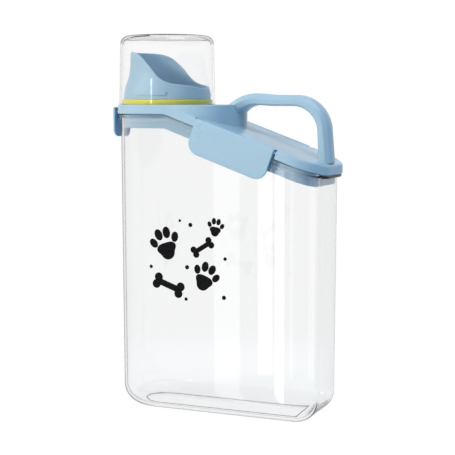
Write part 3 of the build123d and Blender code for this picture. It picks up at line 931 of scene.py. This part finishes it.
def handle_path():
    """Places (x, z, heading) along the handle's middle, and where its corner and its leg start."""
    path = []
    crest_z = HANDLE_BAR_Z + HANDLE_CREST
    top_centre_z = crest_z - HANDLE_RISE_R
    for turn in spread(HANDLE_RISE_ANGLE, 0, 22, False):
        x = HANDLE_TOP_X - HANDLE_RISE_R * sin(turn)
        path.append((x, top_centre_z + HANDLE_RISE_R * cos(turn), turn))
    bar_end = HANDLE_LEG_X - HANDLE_CORNER_R
    for x in spread(HANDLE_TOP_X, HANDLE_FLARE_END_X, 8, False):
        along = (x - HANDLE_TOP_X) / (HANDLE_FLARE_END_X - HANDLE_TOP_X)
        path.append((x, crest_z - HANDLE_CREST * along * along * (3 - 2 * along), 0.0))
    for x in spread(HANDLE_FLARE_END_X, bar_end, 4, False):
        path.append((x, HANDLE_BAR_Z, 0.0))
    corner_z = HANDLE_BAR_Z - HANDLE_CORNER_R
    last_turn = pi / 2 - HANDLE_LEG_LEAN
    for turn in spread(0, last_turn, 26, False):
        x = bar_end + HANDLE_CORNER_R * sin(turn)
        path.append((x, corner_z + HANDLE_CORNER_R * cos(turn), -turn))
    leg_x = bar_end + HANDLE_CORNER_R * sin(last_turn)
    leg_z = corner_z + HANDLE_CORNER_R * cos(last_turn)
    length = leg_z - roof_z(leg_x, PLATE)
    for along in spread(0, length, 6):
        x = leg_x + along * sin(HANDLE_LEG_LEAN)
        path.append((x, leg_z - along * cos(HANDLE_LEG_LEAN), -last_turn))
    return path, bar_end, leg_z, length


def handle():
    """The carrying handle: an eight-sided bar, flared where it grows out of the platform."""
    path, bar_end, leg_z, length = handle_path()
    spare = HANDLE_ROOT_WIDTH - HANDLE_WIDTH
    rings = []
    for x, z, heading in path:
        root = (HANDLE_FLARE_END_X - x) / (HANDLE_FLARE_END_X - HANDLE_FLARE_START_X)
        root = min(1.0, max(0.0, root))
        wide = (HANDLE_WIDE_END_X - x) / (HANDLE_WIDE_END_X - HANDLE_FLARE_START_X)
        wide = min(1.0, max(0.0, wide)) ** HANDLE_FLARE_POWER
        foot = max(0.0, (leg_z - z) / length) if x > bar_end else 0.0
        half_w = HANDLE_WIDTH / 2 + spare / 2 * wide
        low_half = HANDLE_WIDTH / 2 + spare / 4 * wide
        up = HANDLE_THICKNESS / 2 + HANDLE_ROOT_UP * root + HANDLE_LEG_FLARE * foot
        down = HANDLE_THICKNESS / 2 + HANDLE_ROOT_DOWN * root ** 3
        ring = []
        for across, rise in handle_section(half_w, low_half, up, down):
            ring.append((x - rise * sin(heading), across, z + rise * cos(heading)))
        rings.append(ring)
    bar = add_mesh("handle_bar", *skin(rings), HANDLE_SMOOTH)
    hollow_r = LID_HALF - SKIRT_WALL / 2
    top_z = LID_TOP_Z - PLATE / 2
    heights = (top_z - HANDLE_TOOL_HEIGHT, top_z)
    hollow = [round_ring(hollow_r, z, 160, PLATFORM_CENTRE_X) for z in heights]
    carve(bar, add_mesh("tool", *skin(hollow)), "DIFFERENCE", HANDLE_SMOOTH)
    reach = HANDLE_WIDTH
    high, low = -PLATE / 2, -HANDLE_TOOL_DEPTH
    under = [(-reach, high), (reach, high), (reach, low), (-reach, low)]
    return carve(bar, slope_prism(under, *HANDLE_TOOL_US), "DIFFERENCE", HANDLE_SMOOTH)


def handle_section(half_w, low_half, up, down):
    """The bar's cross-section: large facets outside, small ones inside, all corners softened."""
    across = HANDLE_CHAMFER_ACROSS
    facet = HANDLE_CHAMFER_DOWN
    small = HANDLE_INNER_CHAMFER
    corners = [
        (-half_w + across, up), (half_w - across, up), (half_w, up - facet), (low_half, small - down),
        (low_half - small, -down), (small - low_half, -down), (-low_half, small - down), (-half_w, up - facet),
    ]
    return soften(corners, HANDLE_SOFT_R)


def soften(corners, radius, steps=4):
    """A closed outline with each corner rounded off."""
    made = []
    count = len(corners)
    for index, here in enumerate(corners):
        before = Vector(corners[index - 1])
        after = Vector(corners[(index + 1) % count])
        here = Vector(here)
        to_before = (before - here).normalized()
        to_after = (after - here).normalized()
        for step in spread(0, 1, steps):
            start = here + to_before * radius
            end = here + to_after * radius
            made.append(tuple(start * (1 - step) ** 2 + here * 2 * step * (1 - step) + end * step ** 2))
    return made


# Printed motifs, in millimetres from the corner of the print and in degrees

PRINT_CORNER_X = 0.0
PRINT_CORNER_Z = 87.0
PRINT_LIFTS = (0.01, 0.06)
# Place, size and tilt
PAWS = ((16, 46, 1.35, 18), (49, 22, 1.2, -22), (58, 61, 0.75, -8))
BONES = ((18, 15, 27, -20), (47, 46, 20, 32))
DOTS = (
    (34, 30, 1.7), (37, 63, 1.7), (3, 29, 1.4), (66, 38, 1.4), (33, 5, 1.4), (65, 8, 1.7), (28, 66, 1.1),
)
PAD_R = 5.6
PAD_LOBES = 0.75
PAD_FLATTEN = 0.5
PAD_WIDE = 1.12
PAD_HIGH = 0.82
PAD_DROP = 2.6
LOBE_SIZE = 0.13
LOBE_SPREAD = 0.82
SHANK_SIZE = 0.72
# A paw's toes: place, half width, half height and tilt in radians
TOES = (
    (-7.0, 3.4, 2.2, 3.0, 0.45), (-2.6, 7.2, 2.4, 3.4, 0.14),
    (2.6, 7.2, 2.4, 3.4, -0.14), (7.0, 3.4, 2.2, 3.0, -0.45),
)


def placed(outline, cx, cz, size, tilt):
    """An outline scaled, turned and moved."""
    made = []
    for x, z in outline:
        x, z = x * size, z * size
        made.append((cx + x * cos(tilt) - z * sin(tilt), cz + x * sin(tilt) + z * cos(tilt)))
    return made


def oval(cx, cz, rx, rz, tilt=0.0):
    """A tilted ellipse."""
    turns = spread(0, 2 * pi, 36, False)
    return placed([(rx * cos(turn), rz * sin(turn)) for turn in turns], cx, cz, 1.0, tilt)


def paw(cx, cz, size, tilt):
    """A generic paw print: a three-lobed pad and four toes."""
    pad = []
    for turn in spread(0, 2 * pi, 60, False):
        radius = PAD_R + PAD_LOBES * sin(3 * turn) - PAD_FLATTEN * cos(2 * turn)
        pad.append((PAD_WIDE * radius * cos(turn), PAD_HIGH * radius * sin(turn) - PAD_DROP))
    shapes = [pad] + [oval(*toe) for toe in TOES]
    return [placed(shape, cx, cz, size, radians(tilt)) for shape in shapes]


def bone(cx, cz, length, tilt):
    """A generic biscuit bone: a straight shank with two round lobes at each end."""
    lobe_r = length * LOBE_SIZE
    lobe_z = lobe_r * LOBE_SPREAD
    half_shank = lobe_r * SHANK_SIZE
    at_shank = pi - asin((half_shank - lobe_z) / lobe_r)
    at_axis = -asin(lobe_z / lobe_r)
    lobe = arc((length / 2 - lobe_r, lobe_z), lobe_r, at_shank, at_axis, 18)
    outline = []
    for end, side in ((1, 1), (1, -1), (-1, -1), (-1, 1)):
        turned = [(end * x, side * z) for x, z in lobe]
        outline += turned if end * side > 0 else turned[::-1]
    return [placed(outline, cx, cz, 1.0, radians(tilt))]


def printed_design():
    """The black print on the front wall, a thin film a little proud of it."""
    shapes = []
    for values in PAWS:
        shapes += paw(*values)
    for values in BONES:
        shapes += bone(*values)
    for x, z, size in DOTS:
        shapes.append(oval(x, z, size, size))
    points = []
    faces = []
    for shape in shapes:
        first = len(points)
        count = len(shape)
        for lift in PRINT_LIFTS:
            for x, z in shape:
                height = PRINT_CORNER_Z + z
                y = -(BODY_BOTTOM_HALF + BODY_DRAFT * height + lift)
                points.append((PRINT_CORNER_X + x, y, height))
        faces.append(tuple(range(first, first + count)))
        faces.append(tuple(range(first + 2 * count - 1, first + count - 1, -1)))
        for i in range(count):
            j = (i + 1) % count
            faces.append((first + i, first + j, first + count + j, first + count + i))
    return add_mesh("printed_design", points, faces)


# Materials. Noise scales are per metre, and bump distances and glow depths are metres.

FLOW_SCALE = 22
PATCH_SCALE = 60
GRAIN_SCALE = 2600
HAZE_SCALE = 35
WAVE_SCALE = 9
INK_SCALE = 300
MOULDED_IOR = 1.49
CLEAR_IOR = 1.38
GLOW = 0.15
GLOW_DEPTHS = (0.0007, 0.0018, 0.0032)
# Painted shade: clear plastic turns this near-black colour where seen edge-on, standing in for the dark
# surroundings its edges would show.
PAINTED_EDGE_SHADE = (0.012, 0.012, 0.013)
PAINTED_EDGE_SHADE_WIDTH = 0.11
PASSING_TINT = (0.95, 0.95, 0.95)
ABSORBED_TINT = (0.80, 0.81, 0.82)
INK = (0.002, 0.002, 0.0025)
INK_THIN = (0.009, 0.009, 0.009)


def put(tree, node, values):
    """Puts numbers and colours on a node's inputs, or links other nodes' outputs to them."""
    for name, value in values.items():
        if isinstance(value, bpy.types.NodeSocket):
            tree.links.new(value, node.inputs[name])
        else:
            node.inputs[name].default_value = value
    return node


def add_node(tree, kind, values=None, **settings):
    """A new node with its settings and inputs."""
    node = tree.nodes.new("ShaderNode" + kind)
    for name, value in settings.items():
        setattr(node, name, value)
    return put(tree, node, values or {})


def new_material(name):
    """A material with one main shader. Returns it with its node tree and that shader."""
    material = bpy.data.materials.new(name)
    material.use_nodes = True
    tree = material.node_tree
    tree.nodes.clear()
    shader = add_node(tree, "BsdfPrincipled")
    add_node(tree, "OutputMaterial", {"Surface": shader.outputs["BSDF"]})
    return material, tree, shader


def output_of(tree):
    """The material's output node."""
    return next(node for node in tree.nodes if node.type == "OUTPUT_MATERIAL")


def noise(tree, scale, detail=4.0):
    """Three-dimensional noise in object space, which holds still when the piece moves."""
    place = add_node(tree, "TexCoord").outputs["Object"]
    values = {"Vector": place, "Scale": scale, "Detail": detail, "Roughness": 0.5}
    return add_node(tree, "TexNoise", values).outputs["Fac"]


def ramp(tree, source, low, high, low_value, high_value):
    """Maps a band of a texture to a range of values."""
    values = {"Value": source, "From Min": low, "From Max": high, "To Min": low_value, "To Max": high_value}
    return add_node(tree, "MapRange", values).outputs["Result"]


def math_node(tree, operation, first, second=None):
    """The result of one sum on numbers or outputs."""
    values = {0: first} if second is None else {0: first, 1: second}
    return add_node(tree, "Math", values, operation=operation).outputs[0]


def bump(tree, shader, height, strength, distance):
    """Gives the shader a relief."""
    values = {"Height": height, "Strength": strength, "Distance": distance}
    put(tree, shader, {"Normal": add_node(tree, "Bump", values).outputs["Normal"]})


def mix_colours(tree, shader, first, second, factor):
    """Feeds a mix of two colours to the shader's base colour."""
    values = {"A": (*first, 1), "B": (*second, 1), "Factor": factor}
    blend = add_node(tree, "Mix", values, data_type="RGBA")
    put(tree, shader, {"Base Color": blend.outputs["Result"]})


def mix_shaders(tree, factor, first, second):
    """The first shader where the factor is 0 and the second where it is 1."""
    return add_node(tree, "MixShader", {"Fac": factor, 1: first, 2: second}).outputs["Shader"]


def moulded_plastic(name, colour, other_colour, roughness, grain=1.0):
    """Opaque moulded plastic: faint flow marks in the colour, patchy gloss and a fine satin grain."""
    material, tree, shader = new_material(name)
    flow = ramp(tree, noise(tree, FLOW_SCALE, 3.0), 0.35, 0.75, 0.0, 0.25)
    mix_colours(tree, shader, colour, other_colour, flow)
    worn = ramp(tree, noise(tree, PATCH_SCALE, 5.0), 0.3, 0.7, roughness - 0.03, roughness + 0.04)
    bump(tree, shader, noise(tree, GRAIN_SCALE, 2.0), 0.08 * grain, 0.00005)
    put(tree, shader, {
        "Roughness": worn,
        "IOR": MOULDED_IOR,
        "Subsurface Weight": GLOW,
        "Subsurface Radius": GLOW_DEPTHS,
        "Subsurface Scale": 1.0,
    })
    return material


def clear_plastic(name, tint, density, painted_edge_shade_start=None):
    """Clear moulded plastic: painted shade edge-on, faint haze and waviness, and lamps shine through."""
    material, tree, shader = new_material(name)
    put(tree, shader, {"Base Color": (*tint, 1), "Transmission Weight": 1.0, "IOR": CLEAR_IOR})
    # Painted shade: the colour darkens where the surface is seen edge-on.
    if painted_edge_shade_start is not None:
        facing = add_node(tree, "LayerWeight").outputs["Facing"]
        edge = ramp(tree, facing, painted_edge_shade_start, painted_edge_shade_start + PAINTED_EDGE_SHADE_WIDTH, 0.0, 1.0)
        mix_colours(tree, shader, tint, PAINTED_EDGE_SHADE, edge)
    put(tree, shader, {"Roughness": ramp(tree, noise(tree, HAZE_SCALE), 0.35, 0.8, 0.0, 0.012)})
    bump(tree, shader, noise(tree, WAVE_SCALE, 2.0), 0.008, 0.0003)
    rays = add_node(tree, "LightPath").outputs
    lets_by = math_node(tree, "MAXIMUM", rays["Is Shadow Ray"], rays["Is Diffuse Ray"])
    passing = add_node(tree, "BsdfTransparent", {"Color": (*PASSING_TINT, 1)}).outputs["BSDF"]
    absorbing = add_node(tree, "VolumeAbsorption", {"Color": (*ABSORBED_TINT, 1), "Density": density})
    surface = mix_shaders(tree, lets_by, shader.outputs["BSDF"], passing)
    put(tree, output_of(tree), {"Surface": surface, "Volume": absorbing.outputs["Volume"]})
    return material


def printing_ink():
    """Matt black ink with slightly uneven cover."""
    material, tree, shader = new_material("black_ink")
    cover = noise(tree, INK_SCALE)
    mix_colours(tree, shader, INK, INK_THIN, ramp(tree, cover, 0.4, 0.75, 0.0, 1.0))
    put(tree, shader, {"Roughness": ramp(tree, cover, 0.3, 0.7, 0.35, 0.55), "Specular IOR Level": 0.12})
    bump(tree, shader, cover, 0.15, 0.00003)
    return material


def dress(obj, body, material, slot, *nodes):
    """Gives a piece its finish, hangs it on the body it rides on and hides the imported parts it stands in
    for.
    """
    obj.data.materials.clear()
    obj.data.materials.append(material)
    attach(obj, body)
    if nodes:
        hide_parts(*nodes)
    return obj


LID_BLUE = (0.386, 0.525, 0.59)
LID_BLUE_DEEP = (0.34, 0.49, 0.575)
SPOUT_BLUE = (0.34, 0.485, 0.56)
SPOUT_BLUE_DEEP = (0.305, 0.45, 0.545)
# The end latch's blues are painted shade: a deeper copy of the lid's blue, darker because the latch sits in
# shade.
END_LATCH_PAINTED_SHADE_BLUE = (0.27, 0.44, 0.60)
END_LATCH_PAINTED_SHADE_BLUE_DEEP = (0.24, 0.40, 0.57)
RING_YELLOW = (0.66, 0.58, 0.06)
RING_YELLOW_DEEP = (0.60, 0.52, 0.05)
BODY_CLEAR = (0.99, 0.99, 0.99)
CUP_CLEAR = (0.995, 0.995, 0.995)
# Painted shade: black tint for the dark line at the foot ring's step, where it meets the floor.
FOOT_PAINTED_SHADE = (0.0, 0.0, 0.0)

lid_plastic = moulded_plastic("light_blue_plastic", LID_BLUE, LID_BLUE_DEEP, 0.3, grain=0.35)
spout_plastic = moulded_plastic("spout_blue_plastic", SPOUT_BLUE, SPOUT_BLUE_DEEP, 0.45)
ring_rubber = moulded_plastic("yellow_rubber", RING_YELLOW, RING_YELLOW_DEEP, 0.5)
# Painted shade: the end latch gets a darker copy of the lid plastic.
painted_shade_end_latch_plastic = moulded_plastic("painted_shade_end_latch_plastic", END_LATCH_PAINTED_SHADE_BLUE, END_LATCH_PAINTED_SHADE_BLUE_DEEP, 0.34)
gasket_rubber = moulded_plastic("blue_silicone", LID_BLUE, LID_BLUE_DEEP, 0.45)
pin_plastic = moulded_plastic("pin_plastic", LID_BLUE_DEEP, LID_BLUE, 0.4)
# The last number of each clear plastic is where its painted edge shade starts.
body_plastic = clear_plastic("clear_body_plastic", BODY_CLEAR, 85, 0.745)
# Painted shade: black-tinted clear plastic for the foot ring's step.
foot_painted_shade_plastic = clear_plastic("clear_foot_painted_shade_plastic", FOOT_PAINTED_SHADE, 85)
cup_plastic = clear_plastic("clear_cup_plastic", CUP_CLEAR, 50, 0.83)
# Painted shade: the cup's corner starts its edge darkening sooner, for the dark line along the cup's top.
corner_painted_edge_shade_plastic = clear_plastic("clear_corner_painted_edge_shade_plastic", CUP_CLEAR, 56, 0.68)

paint_foot_shade(dress(body_shell(), "container", body_plastic, "clear_plastic", "container_body"), foot_painted_shade_plastic)
dress(printed_design(), "container", printing_ink(), "clear_plastic")
dress(lid_shell(), "lid", lid_plastic, "lid_plastic", "lid_cover")
dress(gasket(), "lid", gasket_rubber, "gasket_rubber", "lid_gasket")
dress(flap("front_flap", -1), "front_flap", lid_plastic, "lid_plastic", "front_latch")
dress(flap("rear_flap", 1), "rear_flap", lid_plastic, "lid_plastic", "rear_latch")
dress(end_flap(), "end_flap", painted_shade_end_latch_plastic, "lid_plastic", "end_latch")
dress(seal_ring(), "lid", ring_rubber, "ring_rubber", "spout_seal_ring")
paint_corner_edge_shade(dress(cup(), "cup", cup_plastic, "clear_plastic", "measuring_cup"), corner_painted_edge_shade_plastic)
dress(spout(), "lid", spout_plastic, "spout_plastic", "pour_spout")
dress(handle(), "lid", lid_plastic, "lid_plastic", "carry_handle")
for node in ("front_latch_pin", "rear_latch_pin", "end_latch_pin"):
    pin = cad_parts[node]
    pin.data.materials.clear()
    pin.data.materials.append(pin_plastic)


# Studio

# Lamps: degrees towards the left and up, distance and size in metres, power and colour
KEY = (37, 24, 1.6, 0.32, 21.0, (1.0, 0.90, 0.76))
FILL = (-60, 62, 1.6, 0.9, 9.6, (0.85, 0.95, 1.0))
OVERHEAD = (170, 60, 1.6, 1.2, 4.2, (1.0, 0.98, 0.98))
LAMP_TARGET = (0, 0, 0.15)
AMBIENT = (0.19, 0.35, 0.57)
SEEN_WHITE = 1.0
RIGHT_SHADE = 0.6
LEFT_SHADE = 0.5
FRONT_SHADE = 0.42
ZENITH = 0.0
FLOOR_HALF = 3.0
FLOOR_COLOUR = (0.35, 0.315, 0.275)
FLOOR_GLOW = 0.76
FLOOR_LIT_COLOUR = (0.52, 0.57, 0.64)
FLOOR_FADE = (0.16, 0.34)
STRIP_SOFT = radians(0.04)
# Bright strips that show only in reflections: degrees from, to, lowest and highest, and strength
STRIPS = (
    (23.86, 22.62, -40, -3.3, 3.6),
    (21.76, 21.06, -13.4, -3.3, 5.0),
    (20.95, 20.48, -40, -3.8, 6.5),
    (22.62, 21.76, -4.1, -3.3, 3.6),
    (12.0, -3.0, -13.6, -3.8, 2.6),
    (-80.0, -118.0, -13.6, -3.8, 2.4),
    (18.9, 16.4, 0.3, 2.6, 5.0),
    (15.0, 12.0, 3.2, 3.4, 14.0),
)


def studio_floor():
    """A pale floor that keeps the shadow near the bin and fades to plain white further out."""
    half = FLOOR_HALF
    mesh = bpy.data.meshes.new("floor")
    corners = [(-half, -half, 0), (half, -half, 0), (half, half, 0), (-half, half, 0)]
    mesh.from_pydata(corners, [], [(0, 1, 2, 3)])
    obj = bpy.data.objects.new("floor", mesh)
    bpy.context.scene.collection.objects.link(obj)
    material, tree, shader = new_material("pale_floor")
    put(tree, shader, {
        "Base Color": (*FLOOR_COLOUR, 1),
        "Roughness": 0.9,
        "Specular IOR Level": 0.0,
        "Emission Color": (1, 1, 1, 1),
        "Emission Strength": FLOOR_GLOW,
    })
    plain = add_node(tree, "BsdfDiffuse", {"Color": (*FLOOR_LIT_COLOUR, 1)}).outputs["BSDF"]
    white = add_node(tree, "Emission", {"Strength": SEEN_WHITE}).outputs["Emission"]
    place = add_node(tree, "TexCoord").outputs["Object"]
    distance = add_node(tree, "VectorMath", {0: place}, operation="LENGTH").outputs["Value"]
    far = mix_shaders(tree, ramp(tree, distance, *FLOOR_FADE, 0.0, 1.0), shader.outputs["BSDF"], white)
    put(tree, output_of(tree), {"Surface": mix_shaders(tree, seen_rays(tree), plain, far)})
    obj.data.materials.append(material)
    obj.visible_glossy = False
    return obj


def seen_rays(tree):
    """One for rays that show the background: from the camera, off gloss or through clear plastic."""
    rays = add_node(tree, "LightPath").outputs
    first = math_node(tree, "MAXIMUM", rays["Is Camera Ray"], rays["Is Glossy Ray"])
    return math_node(tree, "MAXIMUM", first, rays["Is Transmission Ray"])


def band(tree, value, low, high):
    """Two ramps whose product is one between two directions in degrees, and zero outside them."""
    low, high = radians(low), radians(high)
    return [
        ramp(tree, value, low - STRIP_SOFT, low + STRIP_SOFT, 0.0, 1.0),
        ramp(tree, value, high - STRIP_SOFT, high + STRIP_SOFT, 1.0, 0.0),
    ]


def studio_world():
    """White where it is seen, with strips and shades only in reflections, and bluish as a light."""
    world = bpy.data.worlds.new("studio")
    bpy.context.scene.world = world
    world.use_nodes = True
    tree = world.node_tree
    tree.nodes.clear()
    direction = add_node(tree, "TexCoord").outputs["Generated"]
    axes = add_node(tree, "SeparateXYZ", {0: direction}).outputs
    flipped_x = math_node(tree, "MULTIPLY", axes["X"], -1.0)
    flipped_y = math_node(tree, "MULTIPLY", axes["Y"], -1.0)
    azimuth = math_node(tree, "ARCTAN2", flipped_x, flipped_y)
    height = math_node(tree, "ARCSINE", axes["Z"])
    total = None
    for right, left, low, high, strength in STRIPS:
        edges = band(tree, azimuth, left, right) + band(tree, height, low, high)
        inside = edges[0]
        for edge in edges[1:]:
            inside = math_node(tree, "MULTIPLY", inside, edge)
        added = math_node(tree, "MULTIPLY", inside, strength - 1.0)
        total = added if total is None else math_node(tree, "ADD", total, added)
    shade_right = ramp(tree, axes["X"], 0.1, 0.4, 0.0, RIGHT_SHADE)
    shade_left = ramp(tree, axes["X"], -0.6, -0.95, 0.0, LEFT_SHADE)
    shade_front = ramp(tree, axes["Y"], 0.3, -0.1, 0.0, FRONT_SHADE)
    shades = math_node(tree, "MAXIMUM", math_node(tree, "ADD", shade_right, shade_left), shade_front)
    rays = add_node(tree, "LightPath").outputs
    shades = math_node(tree, "MULTIPLY", shades, rays["Is Reflection Ray"])
    total = math_node(tree, "SUBTRACT", math_node(tree, "ADD", total, SEEN_WHITE), shades)
    overhead = ramp(tree, axes["Z"], 0.45, 0.6, 1.0, ZENITH)
    strength = math_node(tree, "MULTIPLY", total, overhead)
    seen = add_node(tree, "Background", {"Color": (1, 1, 1, 1), "Strength": strength}).outputs[0]
    lit = add_node(tree, "Background", {"Color": (*AMBIENT, 1), "Strength": 1.0}).outputs[0]
    add_node(tree, "OutputWorld", {"Surface": mix_shaders(tree, seen_rays(tree), lit, seen)})


def softbox(name, left, up, distance, size, power, colour):
    """A square lamp at a direction from the bin, aimed at its middle."""
    azimuth = radians(left)
    height = radians(up)
    target = Vector(LAMP_TARGET)
    away = Vector((
        -sin(azimuth) * cos(height), -cos(azimuth) * cos(height), sin(height),
    ))
    light = bpy.data.lights.new(name, "AREA")
    light.shape = "SQUARE"
    light.size = size
    light.energy = power
    light.color = colour
    obj = bpy.data.objects.new(name, light)
    bpy.context.scene.collection.objects.link(obj)
    obj.location = target + away * distance
    obj.rotation_euler = away.to_track_quat("Z", "Y").to_euler()
    return obj


def camera():
    """The photograph's view."""
    data = bpy.data.cameras.new("camera")
    data.lens = CAMERA_LENS
    data.sensor_width = CAMERA_SENSOR
    data.clip_start = 0.01
    obj = bpy.data.objects.new("camera", data)
    bpy.context.scene.collection.objects.link(obj)
    obj.location = CAMERA_PLACE
    obj.rotation_euler = (pi / 2 - CAMERA_PITCH, 0, CAMERA_AZIMUTH)
    bpy.context.scene.camera = obj


studio_floor()
studio_world()
softbox("key", *KEY).visible_glossy = False
softbox("fill", *FILL)
softbox("overhead", *OVERHEAD)
camera()
bpy.context.scene.view_settings.view_transform = "Standard"
